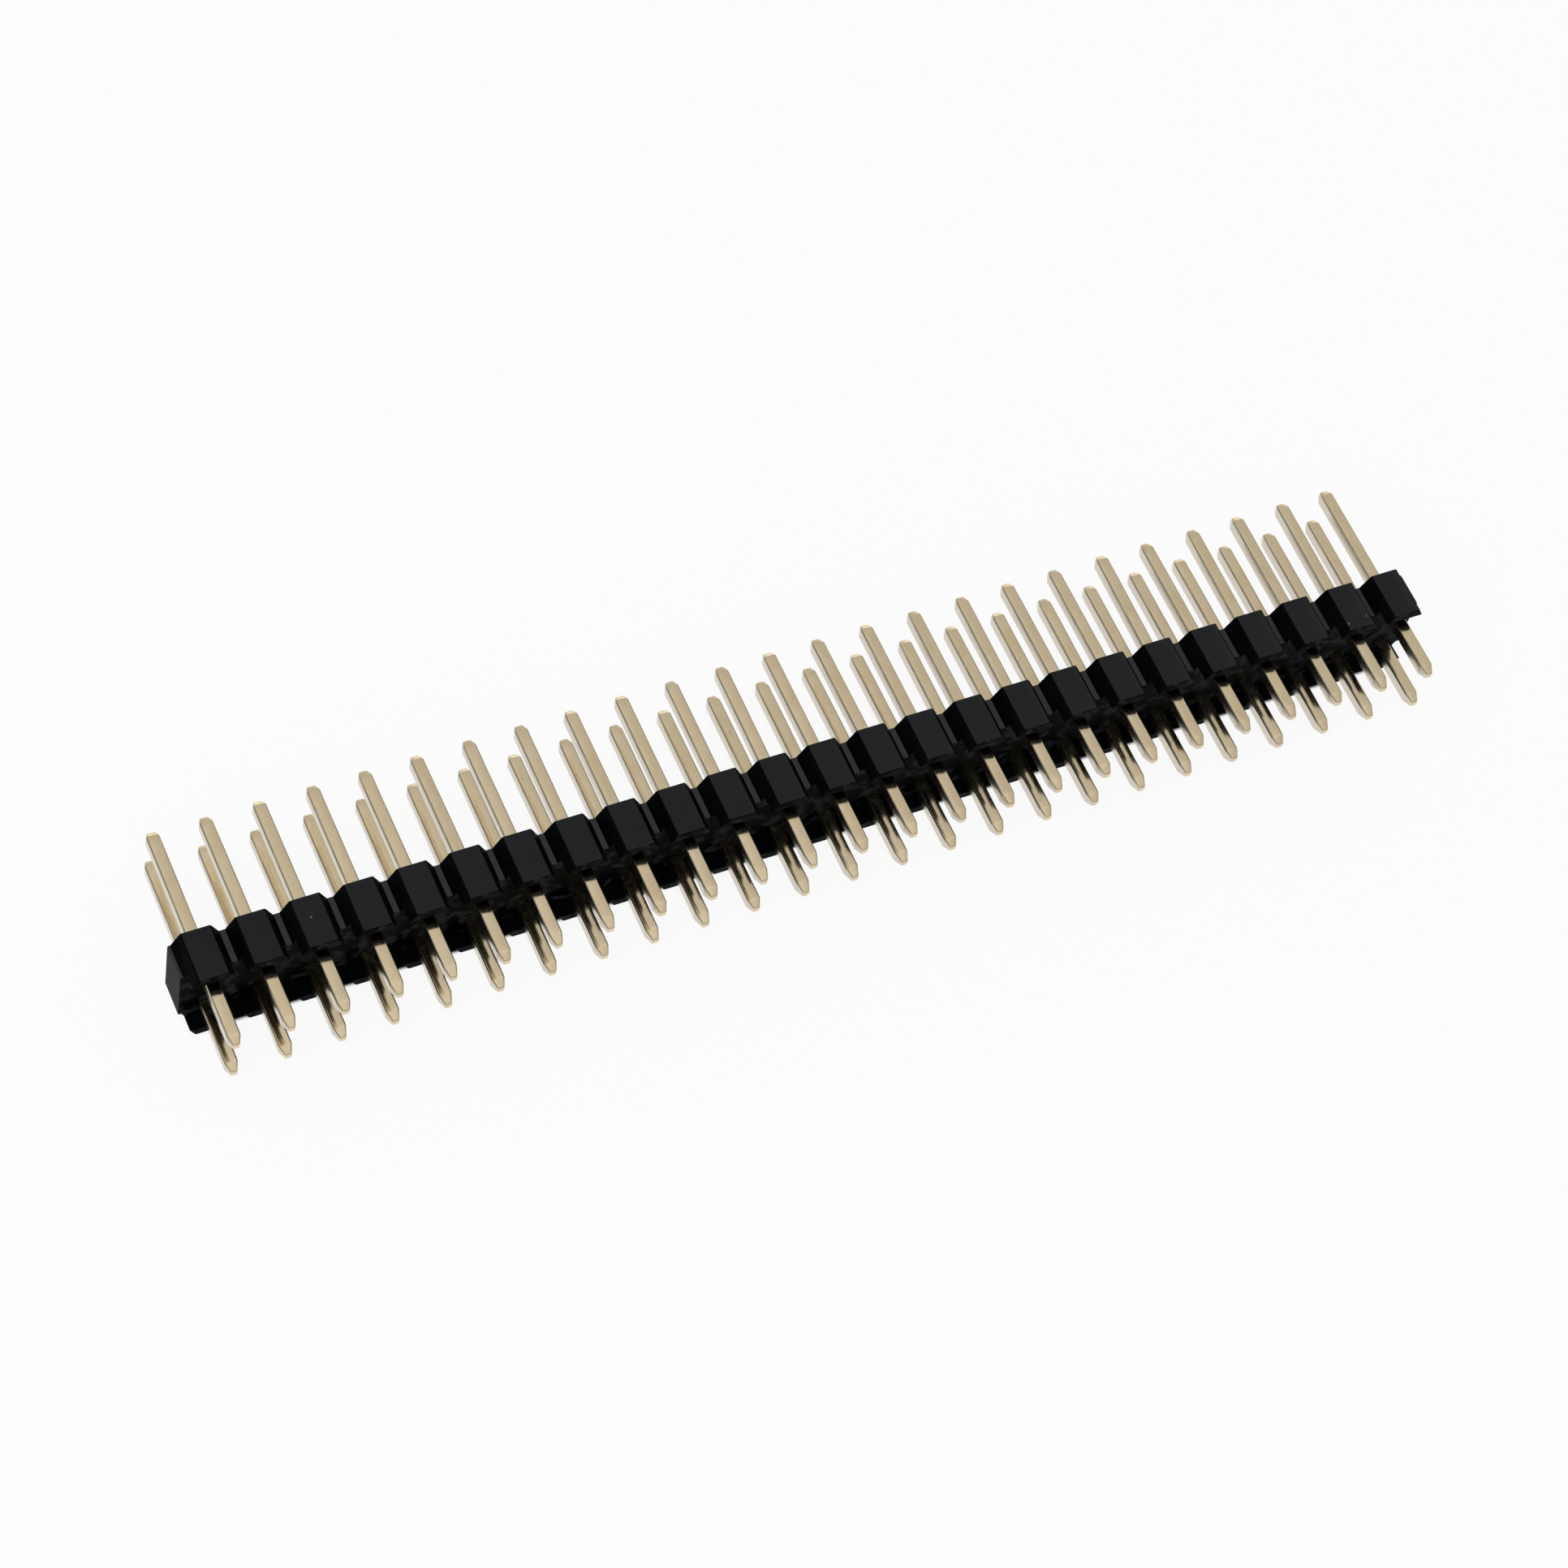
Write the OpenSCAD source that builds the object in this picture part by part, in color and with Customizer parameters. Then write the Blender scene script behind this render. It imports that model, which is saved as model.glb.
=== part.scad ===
// Two-row breakaway pin header, lying on the side of its insulator.
//
// X runs along the strip, +Y along the mating ends of the pins and +Z up,
// across the rows. The origin is the middle of the strip, on the plane of
// the circuit board (the stand-off feet) and on the surface that it lies on.

/* [Strip] */
// Number of pins in each row
columns = 25; // [2:1:29]
// Number of rows
rows = 2; // [1:1:2]
// Distance between neighbouring pins of one row
pitch = 2.54; // [2.2:0.01:3.2]
// Distance between the rows
row_pitch = 2.54; // [2.2:0.01:3.2]

/* [Insulator] */
// Height of the insulator above the board
body_h = 2.54; // [1.6:0.01:4]
// Distance from the outer row's centre line to the insulator's side face
row_to_side = 1.23; // [1.1:0.01:1.6]
// Depth of the breakaway notches, from the side face
notch_depth = 0.8; // [0.4:0.01:0.85]
// Width of a notch at the side face
notch_mouth = 1.12; // [0.6:0.01:1.3]
// Width of a notch at its floor
notch_floor = 0.27; // [0.1:0.01:0.5]
// Height of the stand-off feet, which is the depth of the channel between them
foot_h = 0.8; // [0.3:0.01:1.2]
// Thickness of the stand-off feet, from the side face
foot_t = 0.55; // [0.3:0.01:0.6]
// Size of the small break on the corners between side face and notch
edge_break = 0.05; // [0.02:0.01:0.12]

/* [Pins] */
// Width of the square pins
pin_w = 0.64; // [0.4:0.01:0.7]
// Size of the break on a pin's long edges
pin_edge = 0.07; // [0.02:0.01:0.12]
// Clearance between a pin and its hole, where 0 is a pressed-in pin
pin_fit = 0; // [0:0.01:0.05]
// Length of a pin above the insulator, on the mating side
mating_len = 5.8; // [3:0.05:12]
// Length of a pin below the board face, on the solder side
tail_len = 2.95; // [2:0.05:6]

/* [Pin tips] */
// Length of the taper at the mating tip
mating_tip_len = 0.3; // [0.1:0.01:0.8]
// Width of the mating tip's flat end
mating_tip_w = 0.38; // [0.2:0.01:0.39]
// Length of the taper at the solder tip
tail_tip_len = 0.48; // [0.1:0.01:1]
// Width of the solder tip's flat end
tail_tip_w = 0.3; // [0.1:0.01:0.39]

/* [Hidden] */
body_w = (rows - 1) * row_pitch + 2 * row_to_side;
body_l = columns * pitch;
half_h = body_w / 2;
past = 1; // how far a cutting or trimming shape runs past what it cuts
row_letters = ["a", "b"];

function column_x(column) = (column - (columns + 1) / 2) * pitch;
function row_y(row) = (row - (rows + 1) / 2) * row_pitch;
function pin_name(row, column) =
    str("pin_", row_letters[row - 1], column < 10 ? "0" : "", column);

// Everything is drawn as it stands on a board: X along the strip, Y across
// the rows and Z up the pins, from the board at Z = 0. This lays it down.
module laid_down() {
    translate([0, 0, half_h]) rotate([-90, 0, 0]) children();
}

// A square with its corners cut off, as a pin or its hole is in section.
module broken_square(width, corner) {
    near = width / 2 - corner;
    far = width / 2;
    polygon([
        [near, -far], [far, -near], [far, near], [near, far],
        [-near, far], [-far, near], [-far, -near], [-near, -far]
    ]);
}

// The side face of one cell with its corners broken, between the floors of
// the notches beside it, as points in plan. Side is 1 or -1 for +Y or -Y.
function cell_side(column, side) =
    let (
        face = side * half_h,
        floor_y = side * (half_h - notch_depth),
        break_y = side * (half_h - edge_break),
        floor_x = (pitch - notch_floor) / 2,
        face_x = (pitch - notch_mouth) / 2,
        slope = (floor_x - face_x) / notch_depth,
        x = column_x(column)
    )
    [
        [x + side * floor_x, floor_y],
        [x + side * (face_x + edge_break * slope), break_y],
        [x + side * (face_x - edge_break), face],
        [x - side * (face_x - edge_break), face],
        [x - side * (face_x + edge_break * slope), break_y],
        [x - side * floor_x, floor_y]
    ];

// Plan of the insulator: a row of cells with a notch between each pair, on
// both sides, and half a notch at each end where the strip was snapped off.
module plan() {
    end_x = body_l / 2;
    end_y = half_h - notch_depth;
    right_to_left = [for (column = [columns:-1:1]) each cell_side(column, 1)];
    left_to_right = [for (column = [1:columns]) each cell_side(column, -1)];
    polygon(concat(
        [[end_x, end_y]], right_to_left, [[-end_x, end_y]],
        [[-end_x, -end_y]], left_to_right, [[end_x, -end_y]]
    ));
}

// Section across the strip: a bar raised off the board on a foot along each
// side face, with a channel between the feet.
module section() {
    outer = half_h;
    inner = half_h - foot_t;
    polygon([
        [outer, 0], [outer, body_h], [-outer, body_h], [-outer, 0],
        [-inner, 0], [-inner, foot_h], [inner, foot_h], [inner, 0]
    ]);
}

module bar() {
    intersection() {
        linear_extrude(height = body_h) plan();
        translate([-body_l / 2, 0, 0]) rotate([90, 0, 90])
            linear_extrude(height = body_l) section();
    }
}

module pin_holes() {
    for (row = [1:rows]) for (column = [1:columns])
        translate([column_x(column), row_y(row), -past])
            linear_extrude(height = body_h + 2 * past)
                broken_square(pin_w + 2 * pin_fit, pin_edge);
}

module insulator() {
    color("#24272b") laid_down() difference() {
        bar();
        pin_holes();
    }
}

// Outline of a pin seen from one side: straight, with a taper at each tip.
module pin_outline() {
    half = pin_w / 2;
    top = body_h + mating_len;
    polygon([
        [-tail_tip_w / 2, -tail_len], [tail_tip_w / 2, -tail_len],
        [half, tail_tip_len - tail_len], [half, top - mating_tip_len],
        [mating_tip_w / 2, top], [-mating_tip_w / 2, top],
        [-half, top - mating_tip_len], [-half, tail_tip_len - tail_len]
    ]);
}

module pin_slab() {
    rotate([90, 0, 0]) linear_extrude(height = pin_w + 2 * past, center = true)
        pin_outline();
}

// A pin is a drawn square wire whose tips are pressed to a taper on all four
// faces, so it is what its section and its two side outlines have in common.
module contact_pin() {
    intersection() {
        translate([0, 0, -tail_len])
            linear_extrude(height = tail_len + body_h + mating_len)
                broken_square(pin_w, pin_edge);
        pin_slab();
        rotate([0, 0, 90]) pin_slab();
    }
}

module pin_in_place(row, column) {
    color("#cdb98f") laid_down()
        translate([column_x(column), row_y(row), 0]) contact_pin();
}

insulator();
for (row = [1:rows]) for (column = [1:columns])
    pin_in_place(row, column);
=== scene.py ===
# %% [markdown]
# # A pin header strip on a white table
#
# A pin header is what a circuit board offers to a plug: a bar of black plastic with square gilt
# pins pressed through it. This one is a breakaway strip. The notches between its cells let a
# builder snap off the length that a board needs.
#
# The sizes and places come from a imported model, the frame. This script adds the looks: pins with
# rounded edges and pressed tips, a moulded bar with soft edges, black plastic and gilt, a sheet of
# white paper and the light.

# %% Load the frame
import math

import bmesh
import bpy
import numpy as np
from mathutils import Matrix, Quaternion, Vector


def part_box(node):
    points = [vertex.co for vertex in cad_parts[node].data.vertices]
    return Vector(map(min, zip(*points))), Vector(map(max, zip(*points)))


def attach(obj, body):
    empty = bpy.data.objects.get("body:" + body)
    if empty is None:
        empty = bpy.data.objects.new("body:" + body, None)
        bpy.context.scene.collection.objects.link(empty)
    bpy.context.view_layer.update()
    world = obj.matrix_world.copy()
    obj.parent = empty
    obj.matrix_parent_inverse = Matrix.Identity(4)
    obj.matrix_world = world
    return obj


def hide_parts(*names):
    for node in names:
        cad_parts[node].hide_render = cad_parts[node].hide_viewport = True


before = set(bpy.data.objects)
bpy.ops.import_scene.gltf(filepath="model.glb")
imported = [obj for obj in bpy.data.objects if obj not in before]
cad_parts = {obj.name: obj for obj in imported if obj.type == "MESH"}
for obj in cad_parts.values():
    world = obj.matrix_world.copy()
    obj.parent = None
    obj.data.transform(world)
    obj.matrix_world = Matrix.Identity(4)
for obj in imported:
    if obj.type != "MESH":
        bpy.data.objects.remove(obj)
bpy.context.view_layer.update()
MM = 0.001

# %% [markdown]
# The frame knows where everything is. Every pin has its own node, so the box of a node gives the
# middle of its pin, its width and how far it reaches. The letter in a pin's name is its row.

# %% Read the sizes from the frame
BODY_LOW, BODY_HIGH = (np.array(corner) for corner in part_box("insulator"))
PIN_NAMES = sorted(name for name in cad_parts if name.startswith("pin_"))
PIN_BOXES = {name: [np.array(corner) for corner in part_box(name)] for name in PIN_NAMES}

first_low, first_high = PIN_BOXES["pin_a01"]
second_low, second_high = PIN_BOXES["pin_a02"]
PITCH = (second_low + second_high - first_low - first_high)[0] / 2
PIN_WIDTH = (first_high - first_low)[0]
TAIL_END, MATING_END = first_low[1], first_high[1]
print("pitch:", round(PITCH / MM, 3), "pin:", round(PIN_WIDTH / MM, 3),
      "from", round(TAIL_END / MM, 2), "to", round(MATING_END / MM, 2))

# %% [markdown]
# ## The camera
#
# The strip is a small thing seen from above, past its near left end, so the camera is placed by
# a point to aim at, the direction to stand back in and a distance. A long lens from a hand's
# width away keeps the pins nearly parallel. The camera is also rolled, which lays the strip
# along a rising diagonal and gives a long thin object more of a square frame.

# %% Place the camera
AIM = Vector((-1.6, 2.22, 2.5)) * MM
AZIMUTH = math.radians(-38.06)
ELEVATION = math.radians(57.53)
ROLL = math.radians(16.6)
DISTANCE = 191.77 * MM
SENSOR_MM = 36.0
LENS_MM = 94.38

stand_back = Vector((math.sin(AZIMUTH) * math.cos(ELEVATION),
                     -math.cos(AZIMUTH) * math.cos(ELEVATION),
                     math.sin(ELEVATION)))
camera_data = bpy.data.cameras.new("camera")
camera_data.sensor_width = SENSOR_MM
camera_data.lens = LENS_MM
camera_data.clip_start = 10 * MM
camera_data.clip_end = 10.0
camera = bpy.data.objects.new("camera", camera_data)
camera.location = AIM + stand_back * DISTANCE
camera.rotation_mode = "QUATERNION"
camera.rotation_quaternion = (-stand_back).to_track_quat("-Z", "Y") @ Quaternion((0, 0, 1), ROLL)
bpy.context.collection.objects.link(camera)
bpy.context.scene.camera = camera
print("camera at", [round(c / MM, 1) for c in camera.location], "mm")

# %% [markdown]
# ## The pins
#
# A header pin is drawn brass wire, nearly square, with edges that the die leaves a little round.
# It is cut to length by a punch that also squeezes each tip to a taper, long on the tail, which
# has to find its hole in the board, and short on the mating end.
#
# A cube with bevels could stand for it, but the taper and the rounding change together along the
# pin. So the pin is a profile carried along a path: a square with round corners, whose half
# width and corner radius are both functions of the place along the pin.

# %% A square with round corners
def rounded_square(half, radius, steps):
    """Outlines of squares with round corners, one for each value of half, as (x, z) pairs.

    A corner is a quarter circle: centre + radius * (cos a, sin a), where the centre lies
    half - radius from both axes and a runs over the corner's own quarter turn.
    """
    corner = np.repeat(np.arange(4), steps)
    angle = (corner + np.tile(np.linspace(0, 1, steps), 4)) * np.pi / 2
    side_x = np.sign(np.cos((corner + 0.5) * np.pi / 2))
    side_z = np.sign(np.sin((corner + 0.5) * np.pi / 2))
    inset = (half - radius)[:, None]
    x = side_x * inset + radius[:, None] * np.cos(angle)
    z = side_z * inset + radius[:, None] * np.sin(angle)
    return np.stack([x, z], axis=-1)


print("points in a corner of a unit square:",
      rounded_square(np.array([1.0]), np.array([0.3]), 3)[0, :3].round(2).tolist())

# %% [markdown]
# A skin over such outlines makes the pin. Outline after outline, each quad joins two
# neighbouring points to the same two points of the next outline. The two end outlines are closed
# by one flat face each, so the pin is a solid with an inside and an outside, as a real one is.

# %% A closed tube from its rings
def between_rings(count, n):
    """Quads of the skin over count rings of n points, where point j of ring i is i * n + j.

    Each quad joins points j and j + 1 of one ring to the same points of the next ring.
    """
    start = (np.arange(count - 1)[:, None] * n + np.arange(n)).ravel()
    across = (np.arange(count - 1)[:, None] * n + (np.arange(n) + 1) % n).ravel()
    return np.stack([start, across, across + n, start + n], axis=-1)


def tube_mesh(name, rings):
    """A closed mesh over rings of shape (number of rings, points in a ring, 3).

    The skin joins each ring to the next, and one flat face closes each end.
    """
    count, n = rings.shape[:2]
    first_end = list(range(n))[::-1]
    last_end = list(range((count - 1) * n, count * n))
    faces = between_rings(count, n).tolist() + [first_end, last_end]
    mesh = bpy.data.meshes.new(name)
    mesh.from_pydata(rings.reshape(-1, 3).tolist(), [], faces)
    mesh.update()
    return mesh


print("quads between two rings of four points:", between_rings(2, 4).tolist())

# %% [markdown]
# A detailed piece stands in for a plain CAD node. It hides that node and moves with the body that
# the node belongs to. Nothing moves on this strip, so every piece belongs to the one body, "root".

# %% Put a piece in place of its nodes
def add_piece(name, mesh, material_slot, *nodes):
    """Puts a new piece into the scene at the origin, on the root body, for these CAD nodes."""
    piece = bpy.data.objects.new(name, mesh)
    bpy.context.collection.objects.link(piece)
    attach(piece, "root")
    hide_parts(*nodes)
    return piece


# %% [markdown]
# The sizes of the tips are the maker's: the punch leaves a small flat end with soft edges. Where
# a taper starts, the sheared metal bends over a small radius, so the half width along the pin is
# a chain of straight stretches whose corners are blended by a short curve.

# %% How wide the pin is along its length
CORNER_STEPS = 6
EDGE_RADIUS = 0.09 * MM
TIP_EDGE_RADIUS = 0.05 * MM
END_ROUND = 0.035 * MM
TAIL_TAPER, TAIL_END_WIDTH = 0.48 * MM, 0.30 * MM
MATING_TAPER, MATING_END_WIDTH = 0.30 * MM, 0.38 * MM
BEND = 0.05 * MM


def soft_corner(past, slope):
    """A line that bends softly where past is 0: slope * the integral of a smooth step there.

    It is 0 before -BEND, slope * past after +BEND, and a parabola between them.
    """
    near = np.clip(past, -BEND, BEND)
    return slope * ((near + BEND) ** 2 / (4 * BEND) + np.maximum(past - BEND, 0))


def half_width(y, taper_share=1.0):
    """Half the pin's width at y: the shaft's, less what each taper has taken off by there.

    A taper takes off slope * (how far y is past its start). Its end stays as wide whatever its
    length, which is the usual length times taper_share.
    """
    tail_taper, mating_taper = TAIL_TAPER * taper_share, MATING_TAPER * taper_share
    tail_slope = (PIN_WIDTH - TAIL_END_WIDTH) / 2 / tail_taper
    mating_slope = (PIN_WIDTH - MATING_END_WIDTH) / 2 / mating_taper
    tail = soft_corner(TAIL_END + tail_taper - y, tail_slope)
    mating = soft_corner(y - MATING_END + mating_taper, mating_slope)
    return PIN_WIDTH / 2 - tail - mating


for place, y in (("tail end", TAIL_END), ("shaft", 0.0), ("mating end", MATING_END)):
    print("half width at the", place, round(float(half_width(y)) / MM, 3), "mm")

# %% [markdown]
# Every real strip is a little irregular. A pin is pressed in with a slight lean and turn, and no
# two tips are sheared alike. On shiny metal this shows at once, because a flat that is turned by
# one degree reflects another part of the room. So each pin gets small errors of its own, from a
# seeded generator, which gives the same strip each time.

# %% Choose every pin's small errors
SEED = 254
SPREAD = {"lean_x": 0.30, "lean_z": 0.15, "turn": 0.9}
LIMITS = {"lean_x": 0.45, "lean_z": 0.25, "turn": 1.8}
TAPER_SHARES = (0.85, 1.15)

chance = np.random.default_rng(SEED)
errors = {}
for name in PIN_NAMES:
    error = {key: chance.normal(0, degrees) for key, degrees in SPREAD.items()}
    error = {key: float(np.clip(error[key], -LIMITS[key], LIMITS[key])) for key in error}
    error["taper"] = chance.uniform(*TAPER_SHARES)
    errors[name] = error
print("errors of pin_a01:", {key: round(value, 3) for key, value in errors["pin_a01"].items()})

# %% [markdown]
# Now a pin can be worked out. The rings lie close together on the tips and far apart on the
# shaft. At each end the ring shrinks as a quarter circle does, so the sheared end has a soft
# edge. Then the small errors act on the finished rings: a turn about the pin's own axis, and a
# lean that grows outwards from the two faces of the insulator, which holds the middle straight.

# %% Work out the rings of one pin
END_RINGS, TAIL_RINGS, SHAFT_RINGS, MATING_RINGS = 4, 9, 30, 8
PAST_BEND = 0.06 * MM


def pin_rings(centre_x, centre_z, error):
    """Rings of one pin: outlines at places y along it, turned and leaned by its errors.

    Near each end the half width loses END_ROUND * (1 - sin a) while y moves END_ROUND *
    (1 - cos a), for a from 0 to a quarter turn, which is a rounded edge.
    """
    quarter = np.linspace(0, np.pi / 2, END_RINGS)
    end_y = END_ROUND * (1 - np.cos(quarter))
    tail_reach = TAIL_TAPER * error["taper"] + PAST_BEND
    mating_reach = MATING_TAPER * error["taper"] + PAST_BEND
    from_tail = np.concatenate([end_y, np.linspace(END_ROUND, tail_reach, TAIL_RINGS)[1:]])
    from_mating = np.concatenate([end_y, np.linspace(END_ROUND, mating_reach, MATING_RINGS)[1:]])
    shaft = np.linspace(TAIL_END + tail_reach, MATING_END - mating_reach, SHAFT_RINGS)[1:-1]
    y = np.concatenate([TAIL_END + from_tail, shaft, (MATING_END - from_mating)[::-1]])

    half = half_width(y, error["taper"])
    rounding = END_ROUND * (1 - np.sin(quarter))
    half[:END_RINGS] -= rounding
    half[-END_RINGS:] -= rounding[::-1]
    radius = np.interp(half, [PIN_WIDTH / 4, PIN_WIDTH / 2], [TIP_EDGE_RADIUS, EDGE_RADIUS])
    outline = rounded_square(half, radius, CORNER_STEPS)

    turn = math.radians(error["turn"])
    along_x = outline[..., 0] * math.cos(turn) - outline[..., 1] * math.sin(turn)
    along_z = outline[..., 0] * math.sin(turn) + outline[..., 1] * math.cos(turn)
    outside = np.maximum(y - BODY_HIGH[1], 0) - np.maximum(BODY_LOW[1] - y, 0)
    x = centre_x + along_x + (outside * math.tan(math.radians(error["lean_x"])))[:, None]
    z = centre_z + along_z + (outside * math.tan(math.radians(error["lean_z"])))[:, None]
    return np.stack([x, np.broadcast_to(y[:, None], x.shape), z], axis=-1)


print("rings of a pin:", pin_rings(0, 0, errors["pin_a01"]).shape)

# %% [markdown]
# The finish paints a shade along the long edges of a pin, and a paler, greyer shade on its other
# three flats than on the upper one, so it has to know both. Each point carries two numbers. The
# attribute "edge" is 0 where a flat begins and 1 in the middle of a rounded edge. The second
# attribute is 0 on the upper flat and 1 on the other three.

# %% Make and place the pins
def mark_around(mesh, ring_count):
    """Attributes of every point, from t = 0 to 1 over a corner and its direction a.

    edge = sin(pi * t), and the painted shade of the flats is 1 - max(sin a, 0)^2.
    """
    t = np.tile(np.linspace(0, 1, CORNER_STEPS), 4)
    direction = (np.repeat(np.arange(4), CORNER_STEPS) + t) * np.pi / 2
    for name, values in (("edge", np.sin(np.pi * t)),
                         ("shaded_flat", 1 - np.maximum(np.sin(direction), 0) ** 2)):
        attribute = mesh.attributes.new(name, "FLOAT", "POINT")
        attribute.data.foreach_set("value", np.tile(values, ring_count).astype(np.float32))


pins = []
for name in PIN_NAMES:
    low, high = PIN_BOXES[name]
    middle = (low + high) / 2
    rings = pin_rings(middle[0], middle[2], errors[name])[::-1]
    mesh = tube_mesh("gilt_" + name, rings)
    mark_around(mesh, len(rings))
    pins.append(add_piece("gilt_" + name, mesh, "pin_gilt", name))
print("pins:", len(pins), "with", len(pins[0].data.polygons), "faces each")

# %% [markdown]
# Shading: the flats of a pin are flat and its edges are round. The mesh is smooth, and the
# Weighted Normal modifier lets each big flat face keep its own direction where it runs into the
# small faces of an edge, so that the flats don't look puffed up.

# %% Smooth the pins
PIN_CREASE = math.radians(35)


def smooth_with_flats(piece, crease):
    """Smooth shading, with a crease where two faces turn by more than that angle."""
    piece.data.shade_smooth()
    piece.data.set_sharp_from_angle(angle=crease)
    modifier = piece.modifiers.new("flats stay flat", "WEIGHTED_NORMAL")
    modifier.keep_sharp = True


for pin in pins:
    smooth_with_flats(pin, PIN_CREASE)
print("smoothed", len(pins), "pins")

# %% [markdown]
# ## The insulator
#
# The bar is one injection moulding. Its cells, notches, feet and holes are already true in the
# frame, and a mould only adds that no outer edge is quite sharp: the steel's corners have a
# small radius. So the bar starts from a copy of the CAD node. The copy's loose triangles are
# merged, and a Bevel modifier rounds the edges that the mould forms on the outside. The
# edges of the pin holes stay sharp, where the plastic closes on the metal.

# %% Merge a copy of the insulator
SAME_POINT = 0.002 * MM
SAME_FLAT = math.radians(1)

bar_mesh = bpy.data.meshes.new("moulded_insulator")
builder = bmesh.new()
builder.from_mesh(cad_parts["insulator"].data)
bmesh.ops.remove_doubles(builder, verts=builder.verts, dist=SAME_POINT)
bmesh.ops.dissolve_limit(builder, angle_limit=SAME_FLAT, verts=builder.verts,
                         edges=builder.edges)
builder.to_mesh(bar_mesh)
builder.free()
insulator = add_piece("moulded_insulator", bar_mesh, "insulator_plastic", "insulator")
print("insulator:", len(bar_mesh.vertices), "points,", len(bar_mesh.polygons), "faces")

# %% [markdown]
# The Bevel modifier rounds only edges that turn sharply, so the shallow corners of the notches
# and the pin holes' corners are left alone. Three segments are enough for a radius of 0.05 mm,
# and hardened normals keep the flats flat.

# %% Round its outer edges
EDGE_ROUND = 0.05 * MM
OUTER_TURN = math.radians(75)
BAR_CREASE = math.radians(40)


def round_edges(piece, width, sharper_than):
    """Rounds every edge that turns by more than an angle, and keeps the flats flat."""
    piece.data.shade_smooth()
    bevel = piece.modifiers.new("mould radius", "BEVEL")
    bevel.limit_method = "ANGLE"
    bevel.angle_limit = sharper_than
    bevel.width = width
    bevel.segments = 3
    bevel.use_clamp_overlap = True
    bevel.harden_normals = True


insulator.data.set_sharp_from_angle(angle=BAR_CREASE)
round_edges(insulator, EDGE_ROUND, OUTER_TURN)
print("rounded the edges by", round(EDGE_ROUND / MM, 3), "mm")

# %% [markdown]
# ## Finishes
#
# A finish here is a recipe of nodes, because then it is sharp at any distance and can be measured
# in millimetres. All patterns are laid out in Object coordinates, in metres from the middle of
# the strip, so they stay on the piece whatever the camera does. A few helpers keep the recipes
# short: one makes a material, one adds a node and plugs in whatever it is given, and the others
# add the kinds of node that come up again and again.

# %% Node helpers
def new_material(name):
    """A new material, its node tree and its shader node."""
    material = bpy.data.materials.new(name)
    material.use_nodes = True
    return material, material.node_tree, material.node_tree.nodes["Principled BSDF"]


def add_node(tree, kind, inputs=None, **settings):
    """Adds a node. Inputs are numbers, colours or other nodes' sockets, by name or number."""
    node = tree.nodes.new(kind)
    for key, value in settings.items():
        setattr(node, key, value)
    for key, value in (inputs or {}).items():
        if isinstance(value, bpy.types.NodeSocket):
            tree.links.new(value, node.inputs[key])
        else:
            node.inputs[key].default_value = value
    return node


def calculate(tree, operation, a, b):
    """One arithmetic step between two numbers or sockets."""
    return add_node(tree, "ShaderNodeMath", {0: a, 1: b}, operation=operation).outputs[0]


def noise(tree, place, grain, detail=2.0):
    """Noise from 0 to 1 whose lumps measure grain, in metres, along x, y and z."""
    scaled = add_node(tree, "ShaderNodeMapping",
                      {"Vector": place, "Scale": tuple(1 / size for size in grain)})
    node = add_node(tree, "ShaderNodeTexNoise",
                    {"Vector": scaled.outputs[0], "Scale": 1.0, "Detail": detail})
    return node.outputs["Fac"]


def ramp(tree, value, low, high, to_low=0.0, to_high=1.0):
    """Moves value from the range low..high to to_low..to_high, with soft ends."""
    node = add_node(tree, "ShaderNodeMapRange",
                    {"Value": value, "From Min": low, "From Max": high,
                     "To Min": to_low, "To Max": to_high}, interpolation_type="SMOOTHSTEP")
    return node.outputs["Result"]


def blend_colours(tree, share, first, second):
    """First colour where share is 0, second where it is 1."""
    node = add_node(tree, "ShaderNodeMix", {"Factor": share}, data_type="RGBA")
    for socket, colour in ((node.inputs[6], first), (node.inputs[7], second)):
        if isinstance(colour, bpy.types.NodeSocket):
            tree.links.new(colour, socket)
        else:
            socket.default_value = (*colour, 1.0)
    return node.outputs[2]


print("helpers ready")

# %% [markdown]
# ### The insulator's plastic
#
# The bar is glass-filled polyester, dyed black. Its look depends on the steel that each face was
# moulded against. The two side faces and the face towards the plug are satin, from spark-eroded
# steel. The narrow floors of the notches shine, from polished blades, and their flanks are dull,
# so that they slide off the steel. The snapped ends and the side towards the board, which nobody
# sees once the strip is soldered, are dull, and grey patches are painted into their black as a
# sheen. So one plastic has four finishes, and they are four materials from one recipe. A face gets
# its own by the direction that it faces and by its place.

# %% Sort the faces by their finish
SATIN, SHINY, DULL, PATCHY = 0, 1, 2, 3
NOTCH_DEPTH = 0.8 * MM
CLOSE = 0.02 * MM
ALONG_AXIS = 0.9


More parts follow.
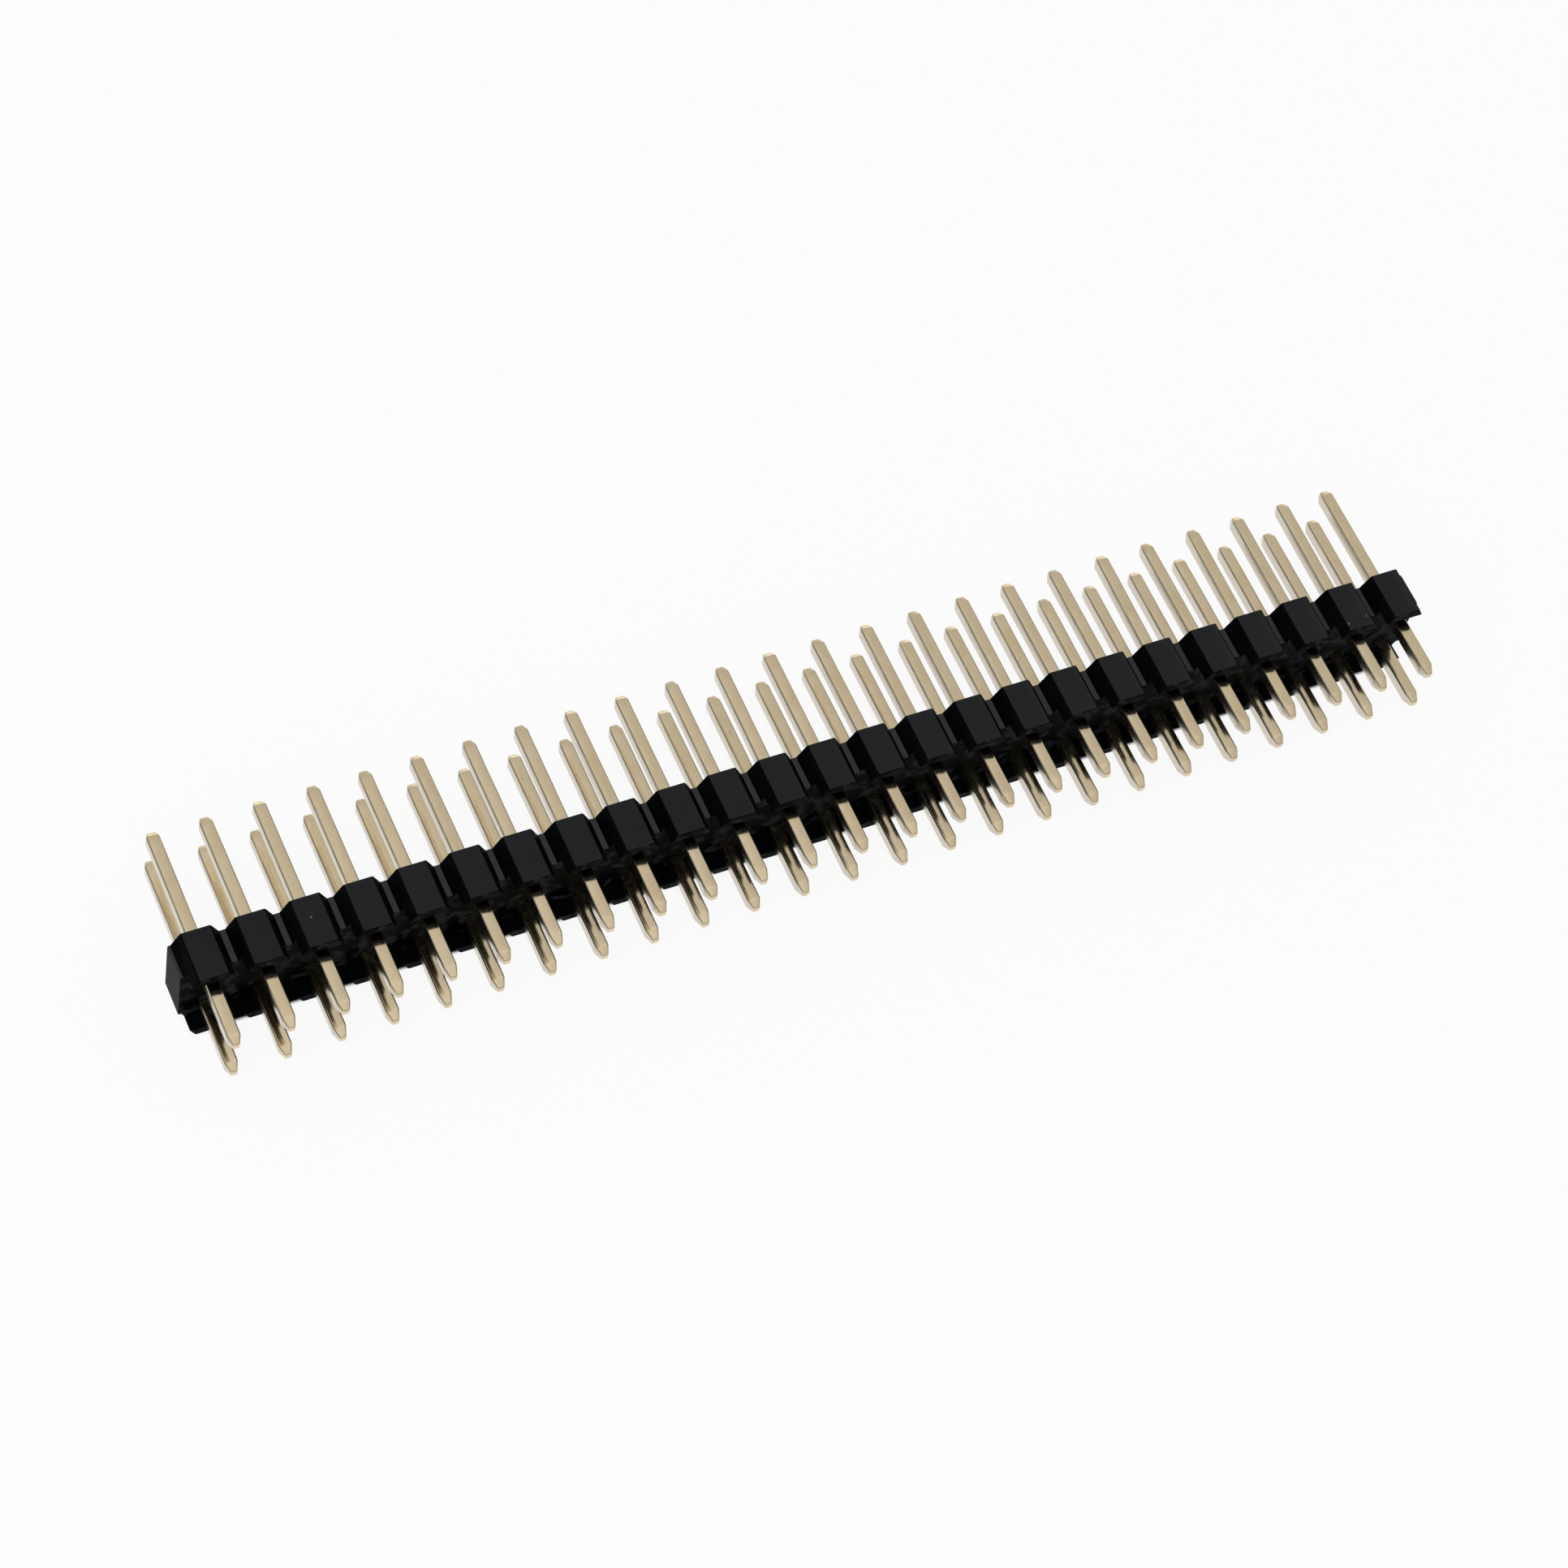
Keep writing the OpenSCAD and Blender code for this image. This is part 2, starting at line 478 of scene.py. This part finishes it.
def face_finishes(mesh):
    """The finish of each face: dull, unless it faces along one of the three axes.

    A face lies along an axis where that part of its normal is over ALONG_AXIS. A level face is
    satin at the very top or bottom of the bar, shiny at the floor of a notch and dull elsewhere.
    A face towards the plug is satin. A face towards the board or at an end is patchy.
    """
    normals = np.empty(3 * len(mesh.polygons))
    centres = np.empty(3 * len(mesh.polygons))
    mesh.polygons.foreach_get("normal", normals)
    mesh.polygons.foreach_get("center", centres)
    normals, centres = normals.reshape(-1, 3), centres.reshape(-1, 3)
    level = np.abs(normals[:, 2]) > ALONG_AXIS
    depth = np.minimum(centres[:, 2] - BODY_LOW[2], BODY_HIGH[2] - centres[:, 2])
    finish = np.full(len(depth), DULL)
    finish[level & (np.abs(depth - NOTCH_DEPTH) < CLOSE)] = SHINY
    finish[(level & (depth < CLOSE)) | (normals[:, 1] > ALONG_AXIS)] = SATIN
    finish[(normals[:, 1] < -ALONG_AXIS) | (np.abs(normals[:, 0]) > ALONG_AXIS)] = PATCHY
    return finish


finishes = face_finishes(bar_mesh)
print("faces, satin, shiny, dull, patchy:", np.bincount(finishes).tolist())

# %% [markdown]
# Satin has a fine grain of about 0.04 mm. Shiny plastic has only the faint waves of its
# shrinking. Both are too shallow to model, so they are bump. The grain also scatters light, which
# is roughness. The dye is not quite even, and on the patchy faces grey patches of painted sheen
# lie in it. A little dust lies about as pale specks, far apart.

# %% Mix the plastic
GRAIN_SIZE = (0.04 * MM, 0.04 * MM, 0.04 * MM)
WAVE_SIZE, WAVE_DEPTH = (0.9 * MM, 0.6 * MM, 0.6 * MM), 0.0012 * MM
CLOUDS = ((6 * MM, 1.5 * MM, 2 * MM), 3.0, 0.3, 0.7)
PATCHES = ((0.6 * MM, 0.6 * MM, 0.5 * MM), 1.0, 0.48, 0.70)
DUST_SPACING, DUST_SHARE, DUST_RADIUS = 1.1 * MM, 0.2, 0.035
DUST_GREY, DUST_ROUGHNESS = (0.22, 0.22, 0.21), 0.4


def moulded_plastic(name, dye, roughness, grain_depth, gloss, unevenness):
    """Black plastic, whose dye and roughness each vary between two values.

    Both follow a noise, given by the size of its lumps, its detail and the two levels between
    which they change. The relief is grain_depth * grain + WAVE_DEPTH * waves. Dust is a dot in
    the middle of some of the cells of a Voronoi pattern, and its radius is a share of a cell.
    The gloss is one number for the whole surface.
    """
    plastic, tree, shader = new_material(name)
    place = add_node(tree, "ShaderNodeTexCoord").outputs["Object"]
    grain = noise(tree, place, GRAIN_SIZE, 3.0)
    waves = noise(tree, place, WAVE_SIZE, 1.0)
    size, detail, low, high = unevenness
    lumps = noise(tree, place, size, detail)
    # The dye is uneven between the two colours; on the patchy faces the grey is a painted sheen.
    colour = blend_colours(tree, ramp(tree, lumps, low, high), *dye)

    specks = add_node(tree, "ShaderNodeTexVoronoi", {"Vector": place, "Scale": 1 / DUST_SPACING})
    chosen = add_node(tree, "ShaderNodeSeparateColor", {0: specks.outputs["Color"]}).outputs[0]
    speck_size = ramp(tree, chosen, 1 - DUST_SHARE, 1.02 - DUST_SHARE, 0.0, DUST_RADIUS)
    dust = calculate(tree, "LESS_THAN", specks.outputs["Distance"], speck_size)
    colour = blend_colours(tree, dust, colour, DUST_GREY)
    rough = ramp(tree, lumps, low, high, *roughness)
    rough = calculate(tree, "ADD", rough, calculate(tree, "MULTIPLY", dust, DUST_ROUGHNESS))

    relief = calculate(tree, "ADD", calculate(tree, "MULTIPLY", grain, grain_depth),
                       calculate(tree, "MULTIPLY", waves, WAVE_DEPTH))
    bump = add_node(tree, "ShaderNodeBump", {"Height": relief, "Distance": 1.0, "Strength": 1.0})
    tree.links.new(colour, shader.inputs["Base Color"])
    tree.links.new(rough, shader.inputs["Roughness"])
    tree.links.new(bump.outputs[0], shader.inputs["Normal"])
    shader.inputs["Specular IOR Level"].default_value = gloss
    return plastic


GREYER = ((0.0030, 0.0043, 0.0052), (0.0046, 0.0059, 0.0068))
DEEPER = ((0.0010, 0.0014, 0.0020), (0.0020, 0.0025, 0.0030))
# The colours on the next line put a painted sheen in grey patches on the board side and the ends.
PAINTED_SHEEN_DYE = ((0.0002, 0.0003, 0.0004), (0.0180, 0.0195, 0.0210))
for plastic in (
        moulded_plastic("satin_black_plastic", GREYER, (0.36, 0.46), 0.0016 * MM, 0.285, CLOUDS),
        moulded_plastic("shiny_black_plastic", DEEPER, (0.12, 0.20), 0.0, 0.65, CLOUDS),
        moulded_plastic("dull_black_plastic", DEEPER, (0.38, 0.48), 0.0010 * MM, 0.01, CLOUDS),
        moulded_plastic("painted_sheen_black_plastic", PAINTED_SHEEN_DYE, (0.38, 0.48), 0.0010 * MM, 0.01, PATCHES)):
    bar_mesh.materials.append(plastic)
    print(plastic.name, len(plastic.node_tree.nodes), "nodes")
bar_mesh.polygons.foreach_set("material_index", finishes.astype(np.int32))

# %% [markdown]
# ### The gilt
#
# The pins are brass wire with nickel and a flash of gold over it, as bright as a mirror, though
# the wire's drawing lines show through. The upper flat is gold, and the other three are painted
# paler and greyer, a painted shade. The long edges are painted darker, a painted shade along them.
# Where the punch cut the wire, at the two ends, there is bare brass, yellower and duller.
#
# The recipe gives each pin a slight tone of its own. The number of a pin is its place divided by
# the pitch and rounded, and a white noise turns that number into a random one.

# %% Find the faces, the ends and the number of each pin
ROW_PITCH = float(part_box("pin_a01")[0][2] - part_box("pin_b01")[0][2])
CUT_STARTS, CUT_IS_BARE = 0.10 * MM, 0.02 * MM

gilt, tree, shader = new_material("gilt_over_brass")
place = add_node(tree, "ShaderNodeTexCoord").outputs["Object"]
along = add_node(tree, "ShaderNodeSeparateXYZ", {0: place})
columns = calculate(tree, "DIVIDE", along.outputs["X"], float(PITCH))
column_number = calculate(tree, "ROUND", columns, 0.0)
rows = calculate(tree, "DIVIDE", along.outputs["Z"], ROW_PITCH)
row_number = calculate(tree, "FLOOR", rows, 0.0)
pin_number = add_node(tree, "ShaderNodeCombineXYZ", {0: column_number, 1: row_number, 2: 0.5})
own_tone = add_node(tree, "ShaderNodeTexWhiteNoise", {"Vector": pin_number.outputs[0]},
                    noise_dimensions="3D").outputs["Value"]
tail_cut = ramp(tree, along.outputs["Y"], float(TAIL_END + CUT_STARTS),
                float(TAIL_END + CUT_IS_BARE))
mating_cut = ramp(tree, along.outputs["Y"], float(MATING_END - CUT_STARTS),
                  float(MATING_END - CUT_IS_BARE))
bare = calculate(tree, "MAXIMUM", tail_cut, mating_cut)
edge = add_node(tree, "ShaderNodeAttribute", attribute_name="edge").outputs["Fac"]
shaded_flat = add_node(tree, "ShaderNodeAttribute", attribute_name="shaded_flat").outputs["Fac"]
# The three other flats get a painted shade: a paler, greyer colour than the gold of the upper
# flat.
flat_shade_share = ramp(tree, shaded_flat, 0.5, 0.95)
print("row pitch:", round(ROW_PITCH / MM, 2), "mm")

# %% [markdown]
# The drawing lines run along the pin: lumps of noise that are 0.03 mm across and 2 mm long. They
# change the bump and the roughness together. A slower noise makes the gold a little paler or
# redder from place to place, as a thin plating is.

# %% Mix the gilt
RED_GOLD, PALE_GOLD, OTHER_GOLD = (0.93, 0.755, 0.475), (0.985, 0.820, 0.550), (0.955, 0.79, 0.54)
# Both colours on the next line are painted shade: one for the three other flats, one along the
# edges.
FLAT_SHADE_PAINT, EDGE_SHADE_PAINT = (0.64, 0.585, 0.50), (0.34, 0.30, 0.22)
BARE_BRASS, TARNISH = (0.73, 0.61, 0.41), (0.30, 0.24, 0.16)
GILT_ROUGHNESS, SHADED_FLAT_ROUGHNESS = (0.09, 0.16), 0.22
CUT_ROUGHNESS, SHADED_EDGE_ROUGHNESS = 0.30, 0.30
LINE_DEPTH = 0.0006 * MM

lines = noise(tree, place, (0.03 * MM, 2.0 * MM, 0.03 * MM), 2.0)
patches = noise(tree, place, (0.5 * MM, 1.2 * MM, 0.5 * MM), 3.0)
scuffs = noise(tree, place, (0.10 * MM, 0.25 * MM, 0.10 * MM), 2.0)

gold = blend_colours(tree, ramp(tree, patches, 0.35, 0.65), RED_GOLD, PALE_GOLD)
gold = blend_colours(tree, calculate(tree, "MULTIPLY", own_tone, 0.5), gold, OTHER_GOLD)
# Painted shade on the three other flats.
gold = blend_colours(tree, flat_shade_share, gold, FLAT_SHADE_PAINT)
# Along the rounded edges the gold is painted darker, a painted shade whose strength changes along
# the pin.
edge_shade_strength = ramp(tree, patches, 0.2, 0.6, 0.55, 0.95)
edge_shade = calculate(tree, "MULTIPLY", ramp(tree, edge, 0.1, 0.8), edge_shade_strength)
gold = blend_colours(tree, edge_shade, gold, EDGE_SHADE_PAINT)
gold = blend_colours(tree, bare, gold, BARE_BRASS)
spots = calculate(tree, "MULTIPLY", ramp(tree, scuffs, 0.70, 0.76), 0.6)
gold = blend_colours(tree, spots, gold, TARNISH)
tree.links.new(gold, shader.inputs["Base Color"])

roughness = ramp(tree, lines, 0.3, 0.7, *GILT_ROUGHNESS)
for share, most in ((bare, CUT_ROUGHNESS), (edge_shade, SHADED_EDGE_ROUGHNESS),
                    (flat_shade_share, SHADED_FLAT_ROUGHNESS)):
    roughness = calculate(tree, "MAXIMUM", roughness, calculate(tree, "MULTIPLY", share, most))
tree.links.new(roughness, shader.inputs["Roughness"])
relief = calculate(tree, "MULTIPLY", lines, LINE_DEPTH)
bump = add_node(tree, "ShaderNodeBump", {"Height": relief, "Distance": 1.0, "Strength": 1.0})
tree.links.new(bump.outputs[0], shader.inputs["Normal"])
shader.inputs["Metallic"].default_value = 1.0
for pin in pins:
    pin.data.materials.append(gilt)
print("gilt:", len(tree.nodes), "nodes on", len(pins), "pins")

# %% [markdown]
# ## The table
#
# The strip lies on a sheet of white paper, which curls up far behind it, so that a low view sees
# paper too. The sheet is a surface turned about the upright axis: its profile is a flat radius,
# a quarter circle and a short wall.
#
# To look white it glows towards the camera and into reflections, and for the rest it is a plain
# matt white, which takes the strip's shadow. Right under the strip hardly any light gets in, so
# there a painted shadow lies on the sheet: its colour turns dark and the glow fades. The painted
# shadow is as deep as the bar and ends a little short of its two ends, and its soft border is what
# shows through the notches of the lower side.

# %% Turn the sheet of paper
MIDDLE_RADIUS, FLAT_RADIUS, COVE_RADIUS, WALL_HEIGHT = 0.2, 1.8, 0.25, 0.4


def paper_sheet(turns, cove_steps):
    """Points at (r cos a, r sin a, z), where (r, z) follows the profile from the middle out."""
    bend = np.linspace(0, np.pi / 2, cove_steps)
    radius = np.concatenate([[MIDDLE_RADIUS], FLAT_RADIUS + COVE_RADIUS * np.sin(bend),
                             [FLAT_RADIUS + COVE_RADIUS]])
    height = np.concatenate([[0], COVE_RADIUS * (1 - np.cos(bend)), [WALL_HEIGHT]])
    angle = np.linspace(0, 2 * np.pi, turns, endpoint=False)
    x = radius[:, None] * np.cos(angle)
    y = radius[:, None] * np.sin(angle)
    return np.stack([x, y, np.broadcast_to(height[:, None], x.shape)], axis=-1)


points = paper_sheet(turns=96, cove_steps=12)
count, turns = points.shape[:2]
facing_up = between_rings(count, turns)[:, [0, 3, 2, 1]].tolist()
middle_face = list(range(turns))
sheet_mesh = bpy.data.meshes.new("paper_table")
sheet_mesh.from_pydata(points.reshape(-1, 3).tolist(), [], facing_up + [middle_face])
sheet_mesh.shade_smooth()
table = bpy.data.objects.new("paper_table", sheet_mesh)
bpy.context.collection.objects.link(table)
print("paper:", len(sheet_mesh.polygons), "faces, up to", WALL_HEIGHT, "m high")

# %% [markdown]
# How far a place lies outside the painted shadow is worked out in two steps. Along each axis,
# past is |place - middle| - (half size - corner), or 0 if that is negative, where the half size is
# the bar's, less the inset along the bar. The distance is then sqrt(past x^2 + past y^2) - corner,
# which is negative inside and follows the round corners.

# %% Give the paper its white and its painted shadow
GLOW = 0.90
# The near-black is a painted shadow on the paper right under the strip.
PAPER_WHITE, PAINTED_SHADOW_BLACK = (0.86, 0.86, 0.86), (0.004, 0.004, 0.004)
PAINTED_SHADOW_CORNER, PAINTED_SHADOW_INSET = 0.6 * MM, 0.5 * MM
BORDER_INSIDE, BORDER_OUTSIDE = 0.22 * MM, 0.02 * MM

paper, tree, shader = new_material("white_paper")
tree.nodes.remove(shader)
place = add_node(tree, "ShaderNodeTexCoord").outputs["Object"]
place = add_node(tree, "ShaderNodeSeparateXYZ", {0: place}).outputs
middle, half_size = (BODY_LOW + BODY_HIGH) / 2, (BODY_HIGH - BODY_LOW) / 2
straight = (half_size[0] - PAINTED_SHADOW_INSET - PAINTED_SHADOW_CORNER, half_size[1] - PAINTED_SHADOW_CORNER)
squares = []
for axis in range(2):
    offset = calculate(tree, "SUBTRACT", place[axis], float(middle[axis]))
    away = calculate(tree, "ABSOLUTE", offset, 0.0)
    past = calculate(tree, "SUBTRACT", away, float(straight[axis]))
    squares.append(calculate(tree, "POWER", calculate(tree, "MAXIMUM", past, 0.0), 2.0))
distance = calculate(tree, "SQRT", calculate(tree, "ADD", *squares), 0.0)
outside = calculate(tree, "SUBTRACT", distance, PAINTED_SHADOW_CORNER)
# This mask is 1 in the open and 0 under the strip, where a painted shadow darkens the paper and
# fades its glow.
outside_painted_shadow = ramp(tree, outside, -BORDER_INSIDE, BORDER_OUTSIDE)

ray = add_node(tree, "ShaderNodeLightPath").outputs
seen = calculate(tree, "MAXIMUM", ray["Is Camera Ray"], ray["Is Glossy Ray"])
seen = calculate(tree, "MAXIMUM", seen, ray["Is Transmission Ray"])
share = calculate(tree, "MULTIPLY", calculate(tree, "MULTIPLY", seen, GLOW), outside_painted_shadow)
matt = blend_colours(tree, outside_painted_shadow, PAINTED_SHADOW_BLACK, PAPER_WHITE)
diffuse = add_node(tree, "ShaderNodeBsdfDiffuse", {"Color": matt})
glow = add_node(tree, "ShaderNodeEmission", {"Color": (1, 1, 1, 1), "Strength": 1.0})
mix = add_node(tree, "ShaderNodeMixShader", {0: share, 1: diffuse.outputs[0], 2: glow.outputs[0]})
tree.links.new(mix.outputs[0], tree.nodes["Material Output"].inputs["Surface"])
sheet_mesh.materials.append(paper)
print("glow share in the open:", GLOW)

# %% [markdown]
# ## The light
#
# Shiny metal looks like what stands around it, so the room matters more than the lamp. It is a
# light tent of white cloth: even all round, and brighter overhead, where the lamp stands close to
# it. That is a sky whose strength depends on the height of the direction.
#
# A wide soft lamp from the front left adds the shadow. In a tent the lamp stands outside the
# cloth, so nothing inside mirrors it. The same holds here: the lamp lights the strip, and
# reflections show the tent alone.

# %% Build the light tent
TENT_SIDE, TENT_TOP = 0.50, 0.67
TOP_STARTS, TOP_IS_FULL = 0.80, 0.97

world = bpy.data.worlds.new("light_tent")
world.use_nodes = True
tree = world.node_tree
direction = add_node(tree, "ShaderNodeTexCoord").outputs["Generated"]
parts = add_node(tree, "ShaderNodeSeparateXYZ", {0: direction}).outputs
strength = ramp(tree, parts["Z"], TOP_STARTS, TOP_IS_FULL, TENT_SIDE, TENT_TOP)
tree.links.new(strength, tree.nodes["Background"].inputs["Strength"])
tree.nodes["Background"].inputs["Color"].default_value = (1, 1, 1, 1)
bpy.context.scene.world = world
print("tent:", TENT_SIDE, "at the sides and", TENT_TOP, "overhead")

# %% Hang the lamp
def soft_lamp(name, direction, distance, size, power):
    """A round lamp of a size, at a distance in a direction, that shines at the origin."""
    data = bpy.data.lights.new(name, "AREA")
    data.shape = "DISK"
    data.size = size
    data.energy = power
    lamp = bpy.data.objects.new(name, data)
    toward = Vector(direction).normalized()
    lamp.location = toward * distance
    lamp.rotation_mode = "QUATERNION"
    lamp.rotation_quaternion = toward.to_track_quat("Z", "Y")
    lamp.visible_glossy = False
    bpy.context.collection.objects.link(lamp)
    return lamp


key = soft_lamp("key", direction=(-1.0, -0.6, 1.9), distance=1.2, size=1.6, power=9.0)
bpy.context.scene.view_settings.view_transform = "Standard"
print("lamp at", [round(c, 2) for c in key.location], "m")
